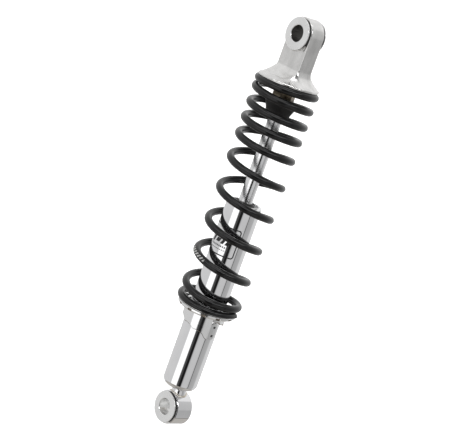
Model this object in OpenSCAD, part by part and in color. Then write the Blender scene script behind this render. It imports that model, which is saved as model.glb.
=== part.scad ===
// Twin-tube motorcycle rear shock absorber, coil spring over a chromed damper.
// Origin: on the bolt axis of the lower eye, where the damper's centre line crosses it.
// +Z runs up the damper to the upper eye, and both bolts lie along Y. Units are millimetres.

/* [Overall] */
// Distance between the two bolt axes when fully extended
eye_to_eye = 340; // [330:5:360]
// How far the damper closes before the bump stop meets the seal housing
stroke = 75; // [50:1:75]
// Diameter of the bolt that each eye takes
bolt_d = 14; // [10:1:14]

/* [Bushes] */
// Outer diameter of the steel sleeve's flange
bush_flange_d = 27.4; // [25:0.1:28]
// Length of each steel sleeve over its flanges
bush_len = 20; // [19:0.5:22]
// Wall thickness of each steel sleeve
sleeve_wall = 2; // [1.5:0.1:2.5]
// Wall thickness of the rubber ring
rubber_wall = 2.5; // [1.5:0.1:2.7]
// Thickness of a sleeve flange
flange_t = 0.9; // [0.8:0.1:1.4]

/* [Upper eye] */
// Width of the tang across X
tang_w = 29.2; // [28.8:0.1:32]
// Thickness of the tang across Y
tang_t = 14.4; // [12:0.1:16]
// Diameter of the top spring seat
top_seat_d = 52.8; // [50:0.2:56]
// Height of the top spring seat's underside
top_seat_z = 298.4; // [296:0.2:300]
// Depth of the milled pocket in each face of the tang
pocket_depth = 1.1; // [0.5:0.1:2]

/* [Damper] */
// Diameter of the chromed piston rod
rod_d = 12; // [10:0.5:12]
// Outer diameter of the chromed damper tube
tube_d = 30.5; // [30.2:0.1:30.8]
// Wall thickness of the damper tube
tube_wall = 1.5; // [1.2:0.1:1.5]
// Height of the tube's rolled top edge
tube_top_z = 192; // [190:0.5:194]
// Height of the tube's closed bottom
tube_bottom_z = 20.5; // [20:0.5:22]

/* [Spring] */
// Mean diameter of the coils
coil_d = 50; // [49:0.5:51]
// Diameter of the spring wire
wire_d = 6.5; // [6:0.1:6.6]
// Number of turns from cut end to cut end
coil_turns = 10.5; // [10.4:0.05:10.6]
// Pitch of the close-wound upper coils
tight_pitch = 13.6; // [13:0.1:14]

/* [Preload] */
// Height of the lower spring seat at its softest step
seat_z = 97.6; // [96:0.1:99]
// Number of preload steps
preload_steps = 5; // [3:1:5]
// Angle that the cam ring turns from one step to the next
step_angle = 34; // [30:1:34]
// Spring preload added by one step
step_lift = 2.8; // [2:0.1:3]
// Number of spanner slots around the cam ring
spanner_slots = 12; // [8:1:12]

/* [Lower eye] */
// Outer diameter of the lower eye barrel
barrel_d = 29.6; // [28.6:0.2:30]
// Length of the lower eye barrel
barrel_len = 17; // [15:0.5:17.5]
// How far the lower bush sits off the damper's centre line
eye_offset = 2.5; // [0:0.5:3]

/* [Hidden] */

eps = 0.01;
fit_gap = 0.05;               // radial clearance of a running fit
face_gap = 0.15;              // clearance between faces that slide past each other
$fn = 96;

bolt_r = bolt_d / 2;
sleeve_r = bolt_r + sleeve_wall;
eye_bore_r = sleeve_r + rubber_wall;
bush_flange_r = bush_flange_d / 2;
rubber_flange_r = bush_flange_r - 0.5;
half_bush = bush_len / 2;

half_tang_w = tang_w / 2;
half_tang_t = tang_t / 2;
top_seat_r = top_seat_d / 2;
seat_rim_t = 1.8;             // thickness of the top seat at its edge
flare_z0 = top_seat_z + seat_rim_t;
flare_z1 = flare_z0 + 13;
flare_power = 2.3;            // how sharply the tang sweeps out into the seat
flare_points = 12;
corner_r = norm([half_tang_w, half_tang_t]);
pocket_half_w = half_tang_w - 2.5;
pocket_bottom_z = flare_z0 + 2.6;
pocket_corner_r = 5.5;
pocket_boss_x = 1.4;          // how far the boss left round the eye leans to the pocket's open side
pocket_sweep = 6;             // height over which the pocket's floor curves out towards the seat
pocket_curve = 0.15;          // how sharply it curves
pocket_sweep_steps = 6;
hub_r = 10.5;                 // boss under the top seat that the lock nut pulls against
hub_z = top_seat_z - 5.9;
pilot_t = 2.4;                // height of the rings that centre the spring
pilot_r = (coil_d - wire_d) / 2 - 0.6;
thread_top_z = top_seat_z + 9.5;

rod_r = rod_d / 2;
spigot_r = 4;                 // rod end that carries the piston
nut_af = 17;
nut_h = 8;
nut_z = hub_z - nut_h;
bump_h = 14.3;
bump_top_r = 13.6;
bump_bottom_r = 9.8;
bump_z = nut_z - bump_h;

tube_r = tube_d / 2;
tube_in_r = tube_r - tube_wall;
tube_bottom_round = 5.5;
tube_lip = 1.6;               // how far the tube's top edge is rolled in
inner_r = 11.25;
inner_wall = 1.25;
inner_out_r = inner_r + inner_wall;
valve_z = 28;
valve_t = 6;
inner_bottom_z = valve_z + valve_t;
guide_z = 174;
guide_spigot = 5.4;
guide_t = 9;
seal_t = 4.6;
washer_t = 2.8;
seal_z = guide_z + guide_t;
washer_z = seal_z + seal_t;
washer_top_z = washer_z + washer_t;
guide_bush_wall = 1;
guide_bush_r = rod_r + fit_gap + guide_bush_wall;
wiper_r = rod_r + 2.6;

piston_z = 150;
piston_t = 10;
piston_r = inner_r - 0.35;
band_h = 6;
band_depth = 0.9;
shim_t = 1;
shim_r = 8;
piston_nut_h = 6;
piston_nut_af = 12;
bumper_t = guide_z - guide_spigot - face_gap - piston_z - piston_t - shim_t;

coil_r = coil_d / 2;
wire_r = wire_d / 2;
coil_start_angle = 30;        // where the lower cut end lies, seen from above
coil_bottom = seat_z + 0.1;   // ground faces of the spring
coil_top = top_seat_z;
ground = 3;                   // how much of the wire is ground away at the lower cut end
top_ground = 0.9;             // and at the upper one
end_pitch = wire_d + 0.1;     // pitch of the closed lower end
top_pitch = 2.2;              // pitch of the half turn that lies flat under the top seat
open_mid = 1.2;               // turn at which the closed end has opened out
open_half = 0.33;             // half of the turns that this takes
tight_mid = 5.83;             // turn at which the wide coils have become close-wound
tight_half = 1.4;
close_mid = 9.9;              // turn at which the upper end closes
close_half = 0.33;
coil_z0 = coil_bottom + wire_r - ground;
coil_z1 = coil_top - wire_r + top_ground;
wide_pitch = (coil_z1 - coil_z0 - end_pitch * open_mid - top_pitch * (coil_turns - close_mid)
    - tight_pitch * (close_mid - tight_mid)) / (tight_mid - open_mid);
wire_sides = 10;
rings_per_turn = 28;

cam_in_r = tube_r + 0.35;
cam_out_r = 18.3;
skirt_in_r = cam_in_r + 0.1;
cam_flange_r = 25.7;
cam_rim_h = 3.6;
seat_plate_t = 0.9;
seat_plate_z = seat_z - seat_plate_t;
cam_top_z = seat_plate_z - 0.1;
lug_w = 7.7;
lug_h = 15.4;
lug_t = 2;
lug_top_z = 87.9;
rivet_r = 0.95;
rivet_spread = 3.9;           // half the distance between a lug's two rivets
rivet_sink = 0.8;             // depth of a rivet's hole in the plate
notch_depth = 1.0;            // depth of each step's notch in the ramp
notch_half_w = 4.2;
cam_clear = 0.35;             // gap over the lug while the ring turns
notch_z = lug_top_z + notch_depth + cam_clear;
lift_per_degree = step_lift / step_angle;
last_notch = step_angle * (preload_steps - 1);
cam_wall_angle = 165;         // where the ramp ends in an upright wall
cam_end_z = 72.8;
cam_stations = 144;

barrel_r = barrel_d / 2;
barrel_front = -5;
neck_r = 6.6;
weld_r = 7.3;

// Smoothly rising step between a and b, and its running sum from the start
function ramp_sum(t, a, b) =
    t <= a ? 0 :
    t >= b ? (b - a) / 2 + t - b :
    let (x = (t - a) / (b - a)) (b - a) * (pow(x, 3) - pow(x, 4) / 2);

// Height of the wire's centre after t turns: closed end, wide coils, tight coils, closed end
function coil_z(t) =
    coil_z0 + end_pitch * t
    + (wide_pitch - end_pitch) * ramp_sum(t, open_mid - open_half, open_mid + open_half)
    - (wide_pitch - tight_pitch) * ramp_sum(t, tight_mid - tight_half, tight_mid + tight_half)
    - (tight_pitch - top_pitch) * ramp_sum(t, close_mid - close_half, close_mid + close_half);

// One point of the wire's skin: i counts rings along the coil, j counts round the wire
function wire_point(i, j) =
    let (t = i / rings_per_turn)
    let (a = coil_start_angle - 360 * t)
    let (b = 360 * j / wire_sides)
    let (r = coil_r + wire_r * cos(b))
    let (z = coil_z(t) + wire_r * sin(b))
    [r * cos(a), r * sin(a), max(coil_bottom, min(coil_top, z))];

// Share of the sweep from the tang (0) to the seat's rim (1) at height z
function sweep_out(z) = pow(min(1, max(0, (flare_z1 - z) / (flare_z1 - flare_z0))), flare_power);
function flare_z(i) = flare_z0 + (flare_z1 - flare_z0) * i / flare_points;
function flare_half(z, base) = base + (top_seat_r - base) * sweep_out(z);

// Height of the cam's lower edge, a degrees past the first notch
function cam_ramp(a) = notch_z - notch_depth - lift_per_degree * a;
function notch_up(a) =
    let (k = min(preload_steps - 1, max(0, round(a / step_angle))))
    let (d = (a - k * step_angle) * PI / 180 * cam_out_r / notch_half_w)
    abs(d) < 1 ? notch_depth * sqrt(1 - d * d) : 0;
function cam_edge(a) =
    a >= cam_wall_angle ? notch_z :
    a > last_notch + 14 ?
        cam_end_z + (cam_ramp(last_notch + 14) - cam_end_z)
        * pow((cam_wall_angle - 3 - min(a, cam_wall_angle - 3)) / (cam_wall_angle - 17 - last_notch), 1.5) :
    cam_ramp(a) + notch_up(a);

// Two triangles that close the corners a, b, c and d, named clockwise from outside
function quad(a, b, c, d) = [[a, b, c], [a, c, d]];

// One point for each height in the list, evenly spaced round a circle
function circle_points(r, heights) =
    [for (i = [0 : len(heights) - 1])
        let (a = 360 * i / len(heights)) [r * cos(a), r * sin(a), heights[i]]];

// A ring lying on the XY plane at height z
module ring(outer_r, inner_r, z, h) {
    translate([0, 0, z])
    difference() {
        cylinder(r = outer_r, h = h);
        translate([0, 0, -1])
        cylinder(r = inner_r, h = h + 2);
    }
}

// A ring around a bolt axis, from y0 to y1, at height z
module bolt_ring(outer_r, inner_r, z, y0, y1) {
    translate([0, y1, z])
    rotate([90, 0, 0])
    ring(outer_r, inner_r, 0, y1 - y0);
}

// A straight cylinder around a bolt axis
module bolt_rod(r, z, y0, y1) {
    translate([0, y1, z])
    rotate([90, 0, 0])
    cylinder(r = r, h = y1 - y0);
}

// Hexagonal nut across flats af with a round hole
module hex_nut(af, h, z, hole_r) {
    translate([0, 0, z])
    difference() {
        intersection() {
            cylinder(r = af / sqrt(3), h = h, $fn = 6);
            cylinder(r1 = af / 2 + h * 0.9, r2 = af / 2 + 0.35, h = h);
            cylinder(r1 = af / 2 + 0.35, r2 = af / 2 + h * 0.9, h = h);
        }
        translate([0, 0, -1])
        cylinder(r = hole_r, h = h + 2);
    }
}

// Side outline of the tang, with its sweep into the seat, base wide at the top
module tang_outline(base, top_z) {
    polygon(concat(
        [for (i = [0 : flare_points]) [flare_half(flare_z(i), base), flare_z(i)]],
        [[base, top_z], [-base, top_z]],
        [for (i = [flare_points : -1 : 0]) [-flare_half(flare_z(i), base), flare_z(i)]]
    ));
}

// Cutter for one milled pocket: open towards -X, with a floor that curves out towards the seat
module pocket_cutter() {
    floor_y = half_tang_t - pocket_depth;
    sweep_z = pocket_bottom_z + 1.5 * pocket_sweep;
    intersection() {
        translate([0, -40, 0])
        rotate([90, 0, 180])
        linear_extrude(40)
        difference() {
            union() {
                translate([-pocket_half_w, pocket_bottom_z + pocket_corner_r])
                square([pocket_half_w + top_seat_r, eye_to_eye - pocket_bottom_z - pocket_corner_r]);
                translate([-pocket_half_w + pocket_corner_r, pocket_bottom_z])
                square([pocket_half_w - pocket_corner_r + top_seat_r, 10]);
                translate([-pocket_half_w + pocket_corner_r, pocket_bottom_z + pocket_corner_r])
                circle(r = pocket_corner_r);
            }
            translate([0, eye_to_eye])
            circle(r = bush_flange_r - 0.2);
            translate([pocket_boss_x, eye_to_eye])
            circle(r = bush_flange_r + 0.4);
        }
        translate([-30, 0, 0])
        rotate([90, 0, 90])
        linear_extrude(60)
        polygon(concat(
            [[-floor_y, eye_to_eye + 1], [-30, eye_to_eye + 1], [-30, pocket_bottom_z - 7]],
            [for (i = [pocket_sweep_steps : -1 : 0])
                let (drop = pocket_sweep * i / pocket_sweep_steps)
                [-floor_y - pocket_curve * drop * drop, sweep_z - drop]]
        ));
    }
}

// Cast aluminium upper eye: bolt eye, flat tang and the top spring seat in one piece
module top_eye() {
    color("silver")
    difference() {
        union() {
            intersection() {
                translate([0, 30, 0])
                rotate([90, 0, 0])
                linear_extrude(60)
                tang_outline(half_tang_w, eye_to_eye);
                translate([-30, 0, 0])
                rotate([90, 0, 90])
                linear_extrude(60)
                tang_outline(half_tang_t, eye_to_eye);
                rotate_extrude()
                polygon(concat(
                    [[0, flare_z0]],
                    [for (i = [0 : flare_points]) [flare_half(flare_z(i), corner_r), flare_z(i)]],
                    [[corner_r, eye_to_eye], [0, eye_to_eye]]
                ));
            }
            bolt_rod(half_tang_w, eye_to_eye, -half_tang_t, half_tang_t);
            translate([0, 0, top_seat_z])
            cylinder(r = top_seat_r, h = seat_rim_t + eps);
            translate([0, 0, top_seat_z - pilot_t])
            cylinder(r = pilot_r, h = pilot_t + eps);
            translate([0, 0, hub_z])
            cylinder(r = hub_r, h = top_seat_z - hub_z);
        }
        bolt_rod(eye_bore_r, eye_to_eye, -half_tang_t - 1, half_tang_t + 1);
        translate([0, 0, hub_z - 1])
        cylinder(r = rod_r, h = thread_top_z - hub_z + 1);
        pocket_cutter();
        mirror([0, 1, 0])
        pocket_cutter();
    }
}

// Rubber ring bonded into an eye, with a lip under each steel flange
module upper_bush_rubber() {
    color([0.06, 0.06, 0.06])
    difference() {
        union() {
            bolt_rod(eye_bore_r, eye_to_eye, -half_tang_t, half_tang_t);
            for (y = [-half_bush + flange_t + face_gap, half_tang_t])
            bolt_rod(rubber_flange_r, eye_to_eye, y, y + half_bush - flange_t - face_gap - half_tang_t);
        }
        bolt_rod(sleeve_r + fit_gap, eye_to_eye, -half_bush, half_bush);
    }
}

// Steel sleeve that the upper bolt clamps, with its front flange
module upper_bush_sleeve() {
    color("gainsboro")
    difference() {
        union() {
            bolt_rod(sleeve_r, eye_to_eye, -half_bush, half_bush);
            bolt_rod(bush_flange_r, eye_to_eye, -half_bush, -half_bush + flange_t);
        }
        bolt_rod(bolt_r, eye_to_eye, -half_bush - 1, half_bush + 1);
    }
}

// Loose steel collar pressed on the back end of the upper sleeve
module upper_bush_collar() {
    color("gainsboro")
    bolt_ring(bush_flange_r, sleeve_r, eye_to_eye, half_bush - flange_t, half_bush);
}

// Zinc-plated nut that locks the upper eye on the rod
module lock_nut() {
    color([0.45, 0.38, 0.25])
    hex_nut(nut_af, nut_h, nut_z, rod_r);
}

// Tapered rubber bump stop on the rod
module bump_stop() {
    color([0.05, 0.05, 0.05])
    translate([0, 0, bump_z])
    rotate_extrude()
    polygon([
        [rod_r, 0], [bump_bottom_r - 1, 0], [bump_bottom_r, 0.8], [bump_bottom_r + 1.2, 4.2],
        [bump_top_r - 0.5, 9], [bump_top_r, 10.6], [bump_top_r, bump_h - 0.8],
        [bump_top_r - 0.8, bump_h], [rod_r, bump_h]
    ]);
}

// Chromed rod: threaded into the upper eye, with a spigot for the piston
module piston_rod() {
    color("lightgray")
    union() {
        translate([0, 0, piston_z + piston_t + shim_t])
        cylinder(r = rod_r, h = thread_top_z - piston_z - piston_t - shim_t);
        translate([0, 0, piston_z - shim_t - piston_nut_h - 1])
        cylinder(r = spigot_r, h = piston_t + piston_nut_h + 2 * shim_t + 1 + eps);
    }
}

// Piston with its band groove and six oil ports
module piston() {
    color("gray")
    difference() {
        translate([0, 0, piston_z])
        rotate_extrude()
        polygon([
            [spigot_r, 0], [piston_r, 0], [piston_r, (piston_t - band_h) / 2],
            [piston_r - band_depth, (piston_t - band_h) / 2],
            [piston_r - band_depth, (piston_t + band_h) / 2],
            [piston_r, (piston_t + band_h) / 2], [piston_r, piston_t], [spigot_r, piston_t]
        ]);
        for (i = [0 : 5])
        rotate([0, 0, 60 * i])
        translate([6.4, 0, piston_z - 1])
        cylinder(r = 1.1, h = piston_t + 2);
    }
}

// Low-friction band that seals the piston to the inner tube
module piston_band() {
    color([0.35, 0.3, 0.2])
    ring(inner_r - fit_gap, piston_r - band_depth, piston_z + (piston_t - band_h) / 2, band_h);
}

// Valve shims over and under the piston
module piston_shims() {
    color("slategray")
    for (z = [piston_z - shim_t, piston_z + piston_t])
    ring(shim_r, spigot_r, z, shim_t);
}

// Nut that clamps the piston and shims
module piston_nut() {
    color("dimgray")
    hex_nut(piston_nut_af, piston_nut_h, piston_z - shim_t - piston_nut_h, spigot_r);
}

// Rubber ring that cushions full extension
module top_out_bumper() {
    color([0.1, 0.1, 0.1])
    ring(rod_r + 3.4, rod_r, piston_z + piston_t + shim_t, bumper_t);
}

// Left-hand progressive coil spring with closed and ground ends
module coil_spring() {
    rings = round(coil_turns * rings_per_turn);
    color([0.08, 0.08, 0.09])
    polyhedron(
        points = [for (i = [0 : rings]) for (j = [0 : wire_sides - 1]) wire_point(i, j)],
        faces = concat(
            [[for (j = [0 : wire_sides - 1]) j]],
            [for (i = [0 : rings - 1]) for (j = [0 : wire_sides - 1])
                let (k = (j + 1) % wire_sides, a = i * wire_sides, b = a + wire_sides)
                each quad(a + j, b + j, b + k, a + k)],
            [[for (j = [wire_sides - 1 : -1 : 0]) rings * wire_sides + j]]
        )
    );
}

// Plated washer that the spring sits on, so that it doesn't wind up with the cam
module spring_seat() {
    color("lightgray")
    translate([0, 0, seat_plate_z])
    rotate_extrude()
    polygon([
        [cam_in_r, 0], [cam_flange_r - 0.2, 0], [cam_flange_r, 0.2], [cam_flange_r, seat_plate_t],
        [pilot_r, seat_plate_t], [pilot_r - 0.4, seat_plate_t + 1.8],
        [pilot_r - 1.5, seat_plate_t + 1.8], [pilot_r - 1.5, seat_plate_t], [cam_in_r, seat_plate_t]
    ]);
}

// Preload cam ring: slotted flange, and a skirt with one notched ramp for each lug
module preload_cam() {
    skirt_top = cam_top_z - cam_rim_h;
    count = cam_stations;
    turn = 360 / count;
    edge = [for (i = [0 : count - 1]) cam_edge(turn * i % 180)];
    base = [for (i = [0 : count - 1]) skirt_top - 2];
    color("lightgray")
    union() {
        difference() {
            rotate_extrude()
            polygon([
                [cam_in_r, skirt_top - 3], [cam_out_r + 0.2, skirt_top - 3], [cam_out_r + 0.5, skirt_top - 1.4],
                [cam_out_r + 2, skirt_top - 0.5], [cam_flange_r - 1.4, skirt_top + 0.3],
                [cam_flange_r - 0.3, skirt_top + 1], [cam_flange_r, skirt_top + 1.8],
                [cam_flange_r, cam_top_z], [cam_in_r, cam_top_z]
            ]);
            for (i = [0 : spanner_slots - 1])
            rotate([0, 0, 360 / spanner_slots * (i + 0.5)])
            translate([cam_flange_r + 0.6, 0, skirt_top - 1])
            cylinder(r = 2.2, h = 3.6, $fn = 32);
        }
        polyhedron(
            points = concat(
                circle_points(skirt_in_r, edge), circle_points(cam_out_r, edge),
                circle_points(skirt_in_r, base), circle_points(cam_out_r, base)
            ),
            faces = [for (i = [0 : count - 1]) let (k = (i + 1) % count) each concat(
                quad(i, count + i, count + k, k),
                quad(2 * count + i, 2 * count + k, 3 * count + k, 3 * count + i),
                quad(i, k, 2 * count + k, 2 * count + i),
                quad(count + i, 3 * count + i, 3 * count + k, count + k)
            )]
        );
    }
}

// Chromed outer tube with a closed round bottom and a rolled top edge
module outer_tube() {
    steps = 8;
    color("lightgray")
    rotate_extrude()
    polygon(concat(
        [[0, tube_bottom_z]],
        [for (i = [0 : steps]) let (a = 90 * i / steps) [
            tube_r - tube_bottom_round + tube_bottom_round * sin(a),
            tube_bottom_z + tube_bottom_round - tube_bottom_round * cos(a)
        ]],
        [
            [tube_r, tube_top_z - 1], [tube_r - 0.3, tube_top_z - 0.3], [tube_r - 1, tube_top_z],
            [tube_in_r - tube_lip + 0.4, tube_top_z], [tube_in_r - tube_lip, tube_top_z - 0.4],
            [tube_in_r - tube_lip, washer_top_z], [tube_in_r, washer_top_z]
        ],
        [for (i = [steps : -1 : 0]) let (a = 90 * i / steps) let (r = tube_bottom_round - tube_wall) [
            tube_in_r - r + r * sin(a),
            tube_bottom_z + tube_wall + r - r * cos(a)
        ]],
        [[0, tube_bottom_z + tube_wall]]
    ));
}

// Inner pressure tube that the piston runs in
module inner_tube() {
    color("darkgray")
    ring(inner_out_r, inner_r, inner_bottom_z, guide_z - inner_bottom_z);
}

// Base valve body under the inner tube, with oil ports
module base_valve() {
    floor_z = tube_bottom_z + tube_wall;
    color("tan")
    difference() {
        union() {
            translate([0, 0, floor_z])
            cylinder(r = 8.5, h = valve_z - floor_z + eps);
            translate([0, 0, valve_z])
            cylinder(r = inner_out_r, h = valve_t);
            translate([0, 0, inner_bottom_z - eps])
            cylinder(r = inner_r - 0.02, h = 3.4);
        }
        translate([0, 0, floor_z - 1])
        cylinder(r = 2.5, h = 30);
        for (i = [0 : 5])
        rotate([0, 0, 60 * i + 30])
        translate([6.2, 0, floor_z - 1])
        cylinder(r = 1, h = 30);
    }
}

// Screw that holds the base valve together
module base_valve_bolt() {
    floor_z = tube_bottom_z + tube_wall;
    color("dimgray")
    union() {
        translate([0, 0, floor_z])
        cylinder(r = 2.5, h = inner_bottom_z + 3.39 - floor_z + eps);
        translate([0, 0, inner_bottom_z + 3.39])
        cylinder(r = 4.4, h = 2.6);
    }
}

// Aluminium rod guide between the inner and outer tubes
module rod_guide() {
    color("silver")
    difference() {
        union() {
            translate([0, 0, guide_z])
            cylinder(r = tube_in_r, h = guide_t);
            translate([0, 0, guide_z - guide_spigot])
            cylinder(r = inner_r - 0.02, h = guide_spigot + eps);
        }
        translate([0, 0, guide_z - guide_spigot - 1])
        cylinder(r = guide_bush_r, h = 30);
    }
}

// Plain bush that the rod slides in
module guide_bush() {
    color([0.55, 0.45, 0.2])
    ring(guide_bush_r, rod_r + fit_gap, guide_z - guide_spigot, guide_t + guide_spigot);
}

// Oil seal over the guide
module rod_seal() {
    color([0.12, 0.1, 0.1])
    ring(tube_in_r, rod_r + fit_gap, seal_z, seal_t);
}

// Steel washer that the rolled edge of the tube holds down on the seal
module seal_washer() {
    color("gray")
    ring(tube_in_r, wiper_r, washer_z, washer_t);
}

// Rubber wiper lip around the rod
module dust_wiper() {
    color([0.05, 0.05, 0.05])
    translate([0, 0, washer_z])
    rotate_extrude()
    polygon([
        [rod_r + fit_gap, 0], [wiper_r, 0], [wiper_r, washer_t + 0.6], [wiper_r - 0.6, washer_t + 1.4],
        [rod_r + fit_gap, washer_t + 2.8]
    ]);
}

// Repeats its children at the two rivets of both lugs, with X pointing out through the plate
module at_each_rivet() {
    for (a = [0, 180])
    rotate([0, 0, a])
    for (side = [-1, 1])
    translate([tube_r + lug_t - rivet_sink, 0, lug_top_z - lug_h / 2 + side * rivet_spread])
    rotate([0, 90, 0])
    children();
}

// Two pill-shaped plates on the tube that the cam ring rests on
module stop_lugs() {
    color("lightgray")
    difference() {
        for (a = [0, 180])
        rotate([0, 0, a])
        intersection() {
            ring(tube_r + lug_t, tube_r, lug_top_z - lug_h - 1, lug_h + 2);
            rotate([90, 0, 90])
            linear_extrude(30)
            union() {
                translate([-lug_w / 2, lug_top_z - lug_h + lug_w / 2])
                square([lug_w, lug_h - lug_w]);
                for (z = [lug_top_z - lug_w / 2, lug_top_z - lug_h + lug_w / 2])
                translate([0, z])
                circle(r = lug_w / 2);
            }
        }
        at_each_rivet()
        cylinder(r = rivet_r + fit_gap, h = 2 * rivet_sink);
    }
}

// Sunk rivets that hold the plates, two in each
module lug_rivets() {
    color("dimgray")
    at_each_rivet()
    cylinder(r = rivet_r, h = rivet_sink - 0.25);
}

// Printed foil label wrapped round the tube
module label() {
    color("whitesmoke")
    rotate([0, 0, -138])
    rotate_extrude(angle = 119)
    translate([tube_r, 145.2])
    square([0.2, 26]);
}

// Lower eye: chromed barrel on a short welded neck
module lower_eye() {
    color("lightgray")
    difference() {
        union() {
            translate([0, barrel_front, 0])
            rotate([-90, 0, 0])
            rotate_extrude()
            polygon([
                [0, 0], [barrel_r - 1.2, 0], [barrel_r - 0.4, 0.3], [barrel_r, 1.1],
                [barrel_r, barrel_len - 1.1], [barrel_r - 0.4, barrel_len - 0.3],
                [barrel_r - 1.2, barrel_len], [0, barrel_len]
            ]);
            translate([0, eye_offset, 8])
            cylinder(r = neck_r, h = tube_bottom_z - 8);
            translate([0, eye_offset, barrel_r - 1.5])
            cylinder(r1 = weld_r, r2 = neck_r, h = 2.6);
            translate([0, eye_offset, tube_bottom_z - 1.6])
            cylinder(r1 = neck_r, r2 = weld_r - 0.3, h = 1.6);
        }
        bolt_rod(eye_bore_r, 0, barrel_front - 1, barrel_front + barrel_len + 1);
    }
}

// Rubber ring in the lower eye, with one lip under the steel flange
module lower_bush_rubber() {
    flange_back = eye_offset - half_bush + flange_t;
    color([0.06, 0.06, 0.06])
    difference() {
        union() {
            bolt_rod(eye_bore_r, 0, barrel_front, barrel_front + barrel_len);
            bolt_rod(rubber_flange_r, 0, flange_back + face_gap, barrel_front);
        }
        bolt_rod(sleeve_r + fit_gap, 0, flange_back, barrel_front + barrel_len + 1);
    }
}

// Steel sleeve that the lower bolt clamps, with its front flange
module lower_bush_sleeve() {
    front = eye_offset - half_bush;
    color("gainsboro")
    difference() {
        union() {
            bolt_rod(sleeve_r, 0, front, front + bush_len);
            bolt_rod(bush_flange_r, 0, front, front + flange_t);
        }
        bolt_rod(bolt_r, 0, front - 1, front + bush_len + 1);
    }
}

top_eye();
upper_bush_rubber();
upper_bush_sleeve();
upper_bush_collar();
lock_nut();
bump_stop();
piston_rod();
piston();
piston_band();
piston_shims();
piston_nut();
top_out_bumper();
coil_spring();
spring_seat();
preload_cam();
outer_tube();
inner_tube();
base_valve();
base_valve_bolt();
rod_guide();
guide_bush();
rod_seal();
seal_washer();
dust_wiper();
stop_lugs();
lug_rivets();
label();
lower_eye();
lower_bush_rubber();
lower_bush_sleeve();
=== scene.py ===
"""Looks of a motorcycle rear shock absorber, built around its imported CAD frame.

Shapes are worked out in millimetres, in the frame's own axes, and turned to metres as each mesh is made.
The damper stands along Z with the lower eye's bolt axis at the origin, and both bolts lie along Y.
"""

import math

import bmesh
import bpy
import numpy as np
from mathutils import Matrix, Vector


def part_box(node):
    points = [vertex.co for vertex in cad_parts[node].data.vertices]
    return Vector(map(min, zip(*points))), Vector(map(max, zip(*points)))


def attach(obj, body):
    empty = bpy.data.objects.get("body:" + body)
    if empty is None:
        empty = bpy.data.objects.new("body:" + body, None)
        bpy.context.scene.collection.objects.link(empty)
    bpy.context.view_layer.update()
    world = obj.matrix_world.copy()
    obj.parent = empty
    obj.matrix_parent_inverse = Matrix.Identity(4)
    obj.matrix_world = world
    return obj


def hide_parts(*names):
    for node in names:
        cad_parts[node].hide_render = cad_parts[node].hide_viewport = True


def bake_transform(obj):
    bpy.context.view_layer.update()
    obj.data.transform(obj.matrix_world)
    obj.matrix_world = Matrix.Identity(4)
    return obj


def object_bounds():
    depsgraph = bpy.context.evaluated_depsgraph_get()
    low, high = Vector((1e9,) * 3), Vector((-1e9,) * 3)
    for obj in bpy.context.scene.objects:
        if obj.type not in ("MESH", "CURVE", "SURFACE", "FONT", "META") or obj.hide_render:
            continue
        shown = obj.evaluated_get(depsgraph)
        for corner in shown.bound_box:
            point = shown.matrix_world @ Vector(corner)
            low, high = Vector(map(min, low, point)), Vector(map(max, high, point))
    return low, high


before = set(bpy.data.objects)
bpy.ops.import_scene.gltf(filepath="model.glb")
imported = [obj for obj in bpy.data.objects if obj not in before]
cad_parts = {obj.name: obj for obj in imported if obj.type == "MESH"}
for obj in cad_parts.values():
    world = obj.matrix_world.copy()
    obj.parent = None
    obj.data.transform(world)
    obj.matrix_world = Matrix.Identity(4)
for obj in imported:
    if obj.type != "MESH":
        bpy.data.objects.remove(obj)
cad_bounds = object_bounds()

MM = 0.001

# Camera, at the photograph's viewing angle; lengths in millimetres, angles in degrees
CAMERA_AIM = (-2.1, -2.02, 175.2)
CAMERA_DISTANCE = 1182.4
CAMERA_AZIMUTH = 46.479
CAMERA_ELEVATION = 12.516
CAMERA_ROLL = 19.905
CAMERA_LENS = 107.74
SENSOR_WIDTH = 36.0

# Bushes
BOLT_R = 7.0
SLEEVE_R = 9.0
FLANGE_T = 0.9
TANG_T = 14.4
EYE_BORE_R = 11.5
BORE_CHAMFER = 0.35
BUSH_GAP = 0.05
LIP_BULGE = 0.25

# Damper
ROD_R = 6.0
SPIGOT_R = 4.0
SPIGOT_TOP_Z = 161.0
TUBE_WALL = 1.5
TUBE_BOTTOM_ROUND = 5.5
TUBE_LIP = 1.6
TUBE_CLEARANCE = 0.35
NECK_R = 6.6
NECK_Y = 2.5
NECK_BOTTOM_Z = 11.9

# Coil spring
WIRE_R = 3.25
COIL_TURNS = 10.5
COIL_START = 30.0
COIL_GROUND = 3.0
COIL_TOP_GROUND = 0.9
COIL_SEAT_GAP = 0.15
END_PITCH = 2 * WIRE_R + 0.1
TIGHT_PITCH = 13.6
TOP_PITCH = 2.2
OPEN_TURN = (0.87, 1.53)
TIGHT_TURN = (4.43, 7.23)
CLOSE_TURN = (9.57, 10.23)
SPLIT_TURN = 2.0

# Preload cam
CAM_OUT_R = 18.3
CAM_RIM_H = 3.6
STEP_ANGLE = 34.0
STEP_LIFT = 2.8
STEPS = 5
NOTCH_DEPTH = 1.0
NOTCH_HALF_W = 4.2
CAM_CLEAR = 0.35
CAM_WALL_ANGLE = 165.0
SPANNER_SLOTS = 12
SLOT_R = 2.2

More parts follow.
